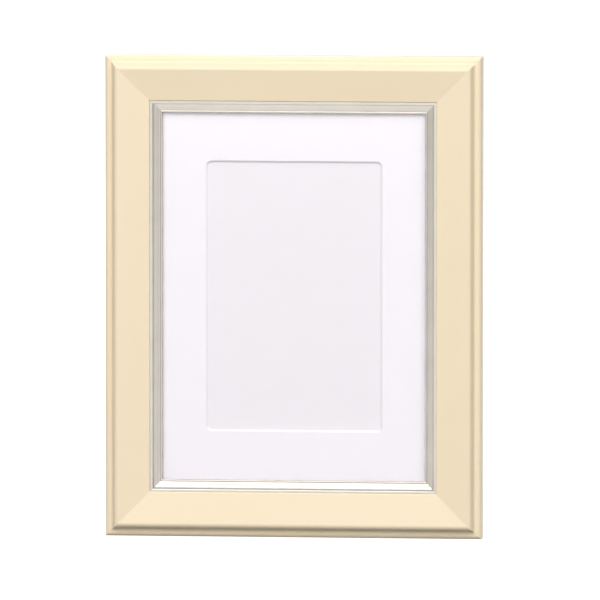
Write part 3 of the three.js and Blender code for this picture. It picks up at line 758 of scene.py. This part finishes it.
def wood_screw(name, node):
    """A node's screw about the Y axis: the underside of its head on Y = 0, its point in front."""
    low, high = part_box(node)
    length = high.y - SCREW_HEAD_HEIGHT - low.y
    screw = disc(name, SCREW_HEAD_RADIUS, -1)
    bpy.ops.mesh.inset(thickness=SCREW_HEAD_RADIUS - SCREW_SHANK_RADIUS)
    extrude((0, SCREW_POINT - length, 0))
    extrude((0, -SCREW_POINT, 0))
    bpy.ops.mesh.merge(type="CENTER")
    pick("EDGE", lambda place, edge: edge.is_boundary)
    dome(SCREW_HEAD_HEIGHT)
    close_up()
    for width, height in ((RECESS_LENGTH, RECESS_WIDTH), (RECESS_WIDTH, RECESS_LENGTH)):
        recess_low = (-width / 2, SCREW_HEAD_HEIGHT - RECESS_DEPTH, -height / 2)
        recess_high = (width / 2, SCREW_HEAD_HEIGHT + OVERCUT, height / 2)
        recess = block("recess", recess_low, recess_high)
        pick("FACE", lambda place, face: face.normal.y < -FACING)
        scale_about_y(RECESS_TAPER)
        cut(screw, recess)
    return screw


def joint_place(name):
    """A point on a joint's axis."""
    return Vector(next(joint["pos_m"] for joint in frame["joints"] if joint["name"] == name))


def head_seat(node, head_height):
    """Where the underside of a screw's or rivet's head lies on its axis."""
    low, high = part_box(node)
    seat = (low + high) / 2
    seat.y = high.y - head_height
    return seat


def drive_screw(model, name, node, side):
    """Set a copy of a screw in its place, and drill the rail on that side for it."""
    seat = head_seat(node, SCREW_HEAD_HEIGHT)
    screw = settle(copied(model, name), seat)
    stand_for(screw, node, "frame")
    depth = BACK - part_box(node)[0].y + SEAT_GAP
    drill(rails[side], (seat.x, BACK, seat.z), SCREW_SHANK_RADIUS, depth, wood[side])


def put_away(*models):
    """Remove the models that copies were made from."""
    for model in models:
        bpy.data.objects.remove(model)


first_button = dress(turn_button("brass_button"), brass_plate())
first_screw = dress(wood_screw("button_screw", "turn_screw_left_upper"), steel)
for side, turn in (("left", 0), ("right", math.pi)):
    for level in ("upper", "lower"):
        node = f"turn_button_{side}_{level}"
        pivot = joint_place(f"turn_{side}_{level}")
        pivot.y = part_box(node)[0].y
        button = settle(copied(first_button, f"brass_button_{side}_{level}"), pivot, turn)
        stand_for(button, node, node)
        drive_screw(first_screw, f"button_screw_{side}_{level}", f"turn_screw_{side}_{level}", side)
put_away(first_button, first_screw)

# Strut hinge. Two leaves of plated steel sheet with their ends rolled round a pin. The fixed leaf is
# riveted to the back panel and the other to the strut, and a tab on the strut's leaf stops against the
# fixed leaf.
LEAF_THICKNESS = 0.8 * mm
LEAF_EDGE = 0.1 * mm
END_KNUCKLE = 8 * mm
KNUCKLE_RADIUS = 2 * mm
KNUCKLE_GAP = 0.3 * mm
KNUCKLE_CLEAR = KNUCKLE_RADIUS + 2 * KNUCKLE_GAP
KNUCKLE_ROLL = math.radians(300)
STOP_TAB_WIDTH = 7 * mm
PIN_EDGE = 0.25 * mm

hinge = joint_place("strut_hinge")


def split_across(places):
    """Cut an edge right round the opened piece at each place along X."""
    for place in places:
        bpy.ops.mesh.select_all(action="SELECT")
        bpy.ops.mesh.bisect(plane_co=(place, 0, 0), plane_no=ALONG_X)


def drill_leaf(leaf, nodes):
    """Drill a leaf for its rivets."""
    for node in nodes:
        low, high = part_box(node)
        drill(leaf, (low + high) / 2, RIVET_SHANK_RADIUS, (high.y - low.y + OVERCUT) / 2)


def fixed_leaf(name):
    """The leaf on the back, with a knuckle rolled at each end of its lower edge."""
    low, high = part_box("hinge_leaf_fixed")
    inner = high.x - END_KNUCKLE
    plate_front = hinge.y - KNUCKLE_RADIUS
    plate_low = (low.x, plate_front, hinge.z + KNUCKLE_CLEAR)
    plate_high = (high.x, plate_front + LEAF_THICKNESS, high.z)
    leaf = block(name, plate_low, plate_high)
    split_across((-inner, inner))
    pick("FACE", lambda place, face: face.normal.z < -FACING and abs(place.x) > inner)
    extrude((0, 0, -KNUCKLE_CLEAR))
    sweep(KNUCKLE_ROLL, hinge, -ALONG_X)
    close_up()
    drill_leaf(leaf, ("rivet_panel_left", "rivet_panel_right"))
    return ease(leaf, LEAF_EDGE)


def strut_leaf(name):
    """The leaf on the strut, with a knuckle rolled on each side of its stop tab."""
    low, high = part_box("hinge_leaf_strut")
    inner = high.x - END_KNUCKLE - KNUCKLE_GAP
    tab = STOP_TAB_WIDTH / 2
    plate_low = (low.x, high.y - LEAF_THICKNESS, low.z)
    plate_high = (high.x, high.y, hinge.z - KNUCKLE_CLEAR)
    leaf = block(name, plate_low, plate_high)
    split_across((-inner, -tab, tab, inner))
    pick("FACE", lambda place, face: face.normal.z > FACING and abs(place.x) < inner)
    extrude((0, 0, KNUCKLE_CLEAR))
    pick("FACE", lambda place, face: face.normal.z > FACING and tab < abs(place.x) < inner)
    sweep(KNUCKLE_ROLL, hinge, -ALONG_X)
    pick("FACE", lambda place, face: face.normal.z > FACING and abs(place.x) < tab)
    extrude((0, 0, high.z - hinge.z))
    close_up()
    drill_leaf(leaf, ("rivet_strut_left", "rivet_strut_right"))
    return ease(leaf, LEAF_EDGE)


leaf_on_back = dress(fixed_leaf("hinge_leaf_on_back"), steel)
stand_for(leaf_on_back, "hinge_leaf_fixed", "frame")
leaf_on_strut = dress(strut_leaf("hinge_leaf_on_strut"), steel)
stand_for(leaf_on_strut, "hinge_leaf_strut", "strut")
pin_low, pin_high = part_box("hinge_pin")
pin = rod("hinge_wire", hinge, (pin_high.z - pin_low.z) / 2, pin_high.x - pin_low.x, ALONG_X)
dress(ease(pin, PIN_EDGE), steel)
stand_for(pin, "hinge_pin", "frame")

# Strut. A tapered leg sawn from the same fibreboard, with round shoulders and an arch between its two
# feet. It hangs from the hinge, folds flat against the back, and props the frame up.
STRUT_TOP_WIDTH = 38 * mm
STRUT_CORNER = 4 * mm
STRUT_EDGE = 0.3 * mm
FOOT_ARCH_WIDTH = 22 * mm
FOOT_ARCH_HEIGHT = 5 * mm

strut_low, strut_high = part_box("strut")
at_top = strut_high.z - TINY
at_shoulder = STRUT_TOP_WIDTH / 2 - TINY
strut = block("fibre_strut", strut_low, strut_high)
pick("VERT", lambda place, vert: place.z > at_top)
narrowed = STRUT_TOP_WIDTH / (strut_high.x - strut_low.x)
bpy.ops.transform.resize(value=(narrowed, 1, 1), center_override=(0, 0, 0))
pick("EDGE", lambda place, edge: place.z > at_top and abs(place.x) > at_shoulder)
bpy.ops.mesh.bevel(offset=STRUT_CORNER, segments=CORNER_STEPS, affect="EDGES")
close_up()
foot_middle = Vector((0, (strut_low.y + strut_high.y) / 2, strut_low.z))
arch = rod("arch", foot_middle, FOOT_ARCH_WIDTH / 2, strut_high.y - strut_low.y + OVERCUT, ALONG_Y)
flattened = 2 * FOOT_ARCH_HEIGHT / FOOT_ARCH_WIDTH
bpy.ops.transform.resize(value=(1, 1, flattened), center_override=foot_middle)
cut(strut, arch)
ease(strut, STRUT_EDGE)
dress(strut, board)
rivet_holes(strut, "strut", ("rivet_strut_left", "rivet_strut_right"), board)
stand_for(strut, "strut", "strut")

# Rivets. Four plated steel rivets with domed heads, two through each leaf and its board.
# Their tails are spread flat in sunk holes on the far side.
RIVET_HEAD_RADIUS = 2.4 * mm
RIVET_HEAD_HEIGHT = 0.8 * mm


def rivet(name, node):
    """A node's rivet about the Y axis, with the underside of its head on Y = 0."""
    low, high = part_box(node)
    grip = high.y - RIVET_HEAD_HEIGHT - low.y - RIVET_TAIL_HEIGHT
    piece = disc(name, RIVET_HEAD_RADIUS, -1)
    bpy.ops.mesh.inset(thickness=RIVET_HEAD_RADIUS - RIVET_SHANK_RADIUS)
    extrude((0, -grip, 0))
    extrude((0, 0, 0))
    scale_about_y(RIVET_TAIL_RADIUS / RIVET_SHANK_RADIUS)
    extrude((0, -RIVET_TAIL_HEIGHT, 0))
    pick("EDGE", lambda place, edge: edge.is_boundary)
    dome(RIVET_HEAD_HEIGHT)
    close_up()
    return smooth(piece)


for held, body in (("panel", "frame"), ("strut", "strut")):
    first_rivet = dress(rivet("domed_rivet", f"rivet_{held}_left"), steel)
    for side in ("left", "right"):
        node = f"rivet_{held}_{side}"
        piece = settle(copied(first_rivet, f"domed_{node}"), head_seat(node, RIVET_HEAD_HEIGHT))
        stand_for(piece, node, body)
    put_away(first_rivet)

# Ring hangers. A strap of plated steel is looped round the straight bar of a D-shaped wire ring and
# held by one wood screw. One is on the top rail, and one on a side rail, to hang the frame the
# other way.
STRAP_WIDTH = 8 * mm
STRAP_THICKNESS = 0.8 * mm
STRAP_EDGE = 0.12 * mm
STRAP_SCREW = 6.5 * mm
STRAP_REACH = 12 * mm
LOOP_RADIUS = 2 * mm
LOOP_ROLL = math.radians(300)
RING_WIRE_RADIUS = 1 * mm
RING_HALF_WIDTH = 7 * mm
RING_LENGTH = 14 * mm
RING_CORNER = 2 * mm
WIRE_SIDES = 16


def strap(name):
    """A strap about the ring's bar, which lies along X through the origin, with its end towards +Z."""
    half = STRAP_WIDTH / 2
    strap_low = (-half, -LOOP_RADIUS, 0)
    strap_high = (half, STRAP_THICKNESS - LOOP_RADIUS, STRAP_REACH)
    piece = block(name, strap_low, strap_high)
    pick("EDGE", lambda place, edge: place.z > STRAP_REACH - TINY and abs(place.x) > half - TINY)
    bpy.ops.mesh.bevel(offset=half - TINY, segments=2 * CORNER_STEPS, affect="EDGES")
    pick("FACE", lambda place, face: face.normal.z < -FACING)
    sweep(LOOP_ROLL, (0, 0, 0), -ALONG_X)
    close_up()
    drill(piece, (0, -LOOP_RADIUS, STRAP_SCREW), SCREW_SHANK_RADIUS, 2 * STRAP_THICKNESS)
    return ease(piece, STRAP_EDGE)


def ring(name):
    """A ring of round wire that hangs towards -Z from its straight bar through the origin."""
    start_fresh()
    bar_end = RING_HALF_WIDTH - RING_CORNER
    bow = RING_LENGTH - RING_HALF_WIDTH
    turn = (0, math.pi / 2, 0)
    bpy.ops.mesh.primitive_circle_add(
        vertices=WIRE_SIDES, radius=RING_WIRE_RADIUS, location=(-bar_end, 0, 0), rotation=turn
    )
    piece = open_new(name)
    extrude((2 * bar_end, 0, 0))
    sweep(math.pi / 2, (bar_end, 0, -RING_CORNER), -ALONG_Y)
    extrude((0, 0, RING_CORNER - bow))
    sweep(math.pi, (0, 0, -bow), -ALONG_Y)
    extrude((0, 0, bow - RING_CORNER))
    sweep(math.pi / 2, (-bar_end, 0, -RING_CORNER), -ALONG_Y)
    close_up()
    return smooth(piece)


first_strap = dress(strap("steel_strap"), steel)
first_ring = dress(ring("wire_ring"), steel)
first_screw = dress(wood_screw("strap_screw", "hanger_screw_top"), steel)
for hanger, side, turn in (("top", "top", 0), ("side", "right", math.pi / 2)):
    bar = joint_place(f"ring_{hanger}_swing")
    piece = settle(copied(first_strap, f"steel_strap_{hanger}"), bar, turn)
    stand_for(piece, f"hanger_strap_{hanger}", "frame")
    piece = settle(copied(first_ring, f"wire_ring_{hanger}"), bar, turn)
    stand_for(piece, f"hanger_ring_{hanger}", f"hanger_ring_{hanger}")
    drive_screw(first_screw, f"strap_screw_{hanger}", f"hanger_screw_{hanger}", side)
put_away(first_strap, first_ring, first_screw)

# Studio. A pale floor that the frame stands on, a large soft light above and before it, weaker ones at
# the front, low down and behind, and a long lens a little above the picture and to its right. The low
# light isn't mirrored in the silver.
FLOOR_RADIUS = 5
FLOOR_SIDES = 96
FLOOR_PALE = (0.3, 0.3, 0.3)
FLOOR_GLOW = 0.95
ROOM_BELOW = 0.12
ROOM_ABOVE = 0.86
ROOM_DARKEST = -0.3  # from this far below the level downwards, the room is as dark as it gets
WHITE = (1, 1, 1, 1)
CAMERA_DISTANCE = 8.0
CAMERA_AZIMUTH = math.radians(6)
CAMERA_ELEVATION = math.radians(4.7)
SENSOR_WIDTH = 36
VIEW_WIDTH = 304.4 * mm
AIM = Vector((3.2 * mm, 0, MIDDLE_HEIGHT - 1.6 * mm))


def pale_floor():
    """Matt white paint with a faint roller texture, bright enough to merge with the room behind."""
    material, tree, shader = new_finish("pale floor", roughness=0.9)
    roller_marks = grain(tree, spacing=20 * mm)
    tones(tree, roller_marks, shader, FLOOR_PALE, darkest=0.99)
    shader.inputs["Emission Color"].default_value = WHITE
    shader.inputs["Emission Strength"].default_value = FLOOR_GLOW
    return material


start_fresh()
bpy.ops.mesh.primitive_circle_add(vertices=FLOOR_SIDES, radius=FLOOR_RADIUS, fill_type="NGON")
floor = bpy.context.object
floor.name = "floor"
dress(floor, pale_floor())
floor.visible_diffuse = False


def point_at(thing, target):
    """Turn a light or the camera towards a target."""
    thing.rotation_euler = (Vector(target) - thing.location).to_track_quat("-Z", "Y").to_euler()


def soft_light(name, place, size, power, mirrored=True):
    """A large diffuse light aimed at the middle of the frame, mirrored in shiny faces or not."""
    start_fresh()
    bpy.ops.object.light_add(type="AREA", location=place)
    light = bpy.context.object
    light.name = name
    light.data.shape = "RECTANGLE"
    light.data.size, light.data.size_y = size
    light.data.energy = power
    light.visible_glossy = mirrored
    point_at(light, (0, 0, MIDDLE_HEIGHT))


soft_light("key light", place=(0.3, -1.54, 1.64), size=(3.75, 1.05), power=32)
soft_light("front light", place=(0.1, -3.2, 1.35), size=(3.0, 2.2), power=33)
soft_light("low light", place=(-0.33, -3.15, 0.35), size=(0.9, 0.5), power=14, mirrored=False)
soft_light("back light", place=(-0.9, 2.1, 1.7), size=(1.6, 1.2), power=30)

room = bpy.data.worlds.new("room")
room.use_nodes = True
nodes = room.node_tree.nodes
link = room.node_tree.links.new
walls = nodes["Background"]
walls.inputs["Color"].default_value = WHITE
direction = nodes.new("ShaderNodeTexCoord")
upwards = nodes.new("ShaderNodeSeparateXYZ")
brightness = nodes.new("ShaderNodeMapRange")
brightness.inputs["From Min"].default_value = ROOM_DARKEST
brightness.inputs["To Min"].default_value = ROOM_BELOW
brightness.inputs["To Max"].default_value = ROOM_ABOVE
link(direction.outputs["Generated"], upwards.inputs["Vector"])
link(upwards.outputs["Z"], brightness.inputs["Value"])
link(brightness.outputs["Result"], walls.inputs["Strength"])
backdrop = nodes.new("ShaderNodeBackground")
backdrop.inputs["Color"].default_value = WHITE
seen = nodes.new("ShaderNodeLightPath")
either = nodes.new("ShaderNodeMixShader")
link(seen.outputs["Is Camera Ray"], either.inputs["Fac"])
link(walls.outputs["Background"], either.inputs[1])
link(backdrop.outputs["Background"], either.inputs[2])
link(either.outputs["Shader"], nodes["World Output"].inputs["Surface"])
bpy.context.scene.world = room
bpy.context.scene.view_settings.view_transform = "Standard"

towards = Vector((
    math.sin(CAMERA_AZIMUTH) * math.cos(CAMERA_ELEVATION),
    -math.cos(CAMERA_AZIMUTH) * math.cos(CAMERA_ELEVATION),
    math.sin(CAMERA_ELEVATION),
))
bpy.ops.object.camera_add(location=AIM + CAMERA_DISTANCE * towards)
camera = bpy.context.object
point_at(camera, AIM)
camera.data.sensor_width = SENSOR_WIDTH
camera.data.lens = SENSOR_WIDTH * CAMERA_DISTANCE / VIEW_WIDTH
bpy.context.scene.camera = camera
